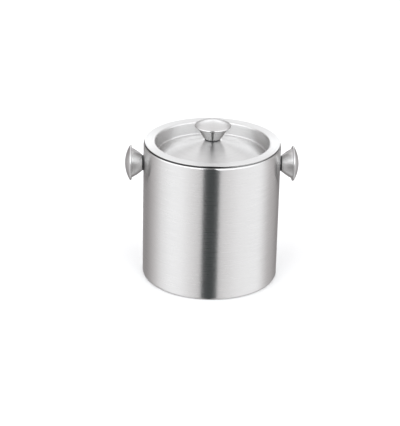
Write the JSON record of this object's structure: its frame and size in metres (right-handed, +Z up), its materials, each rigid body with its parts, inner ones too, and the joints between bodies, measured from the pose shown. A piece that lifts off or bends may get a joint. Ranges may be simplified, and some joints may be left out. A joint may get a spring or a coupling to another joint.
{
  "type": "ice bucket",
  "caption": "Round double-wall ice bucket in brushed stainless steel with a sunk lift-off lid and matching conical knobs on the lid and both sides.",
  "frame": {"origin": "centre of the base, on the surface the bucket stands on", "axes": "+Z up along the bucket's axis, +X towards the right-hand side knob, +Y to the back"},
  "size_m": [0.1776, 0.14, 0.1683],
  "materials": {
    "brushed_shell": "circumferential brushed",
    "brushed_lid": "circular brushed",
    "satin_liner": "satin",
    "satin_knob": "turned satin",
    "plated_hardware": "zinc plated",
    "black_spacer": "moulded matt"
  },
  "bodies": {
    "bucket": {"outer_shell": "brushed_shell", "inner_liner": "satin_liner", "base_cover": "satin_liner", "left_knob_body": "satin_knob", "left_knob_cap": "satin_knob", "left_knob_insert": "plated_hardware", "left_knob_spacer": "black_spacer", "left_saddle_washer": "plated_hardware", "left_spring_washer": "plated_hardware", "left_knob_screw": "plated_hardware", "right_knob_body": "satin_knob", "right_knob_cap": "satin_knob", "right_knob_insert": "plated_hardware", "right_knob_spacer": "black_spacer", "right_saddle_washer": "plated_hardware", "right_spring_washer": "plated_hardware", "right_knob_screw": "plated_hardware"},
    "lid": {"lid_pan": "brushed_lid", "lid_knob_body": "satin_knob", "lid_knob_cap": "satin_knob", "lid_knob_insert": "plated_hardware", "lid_knob_spacer": "black_spacer", "lid_flat_washer": "plated_hardware", "lid_spring_washer": "plated_hardware", "lid_knob_screw": "plated_hardware"}
  },
  "joints": [
    {"name": "lid_lift", "type": "slide", "parent": "bucket", "child": "lid", "axis": [0, 0, 1], "range_m": [0, 0.1]}
  ]
}
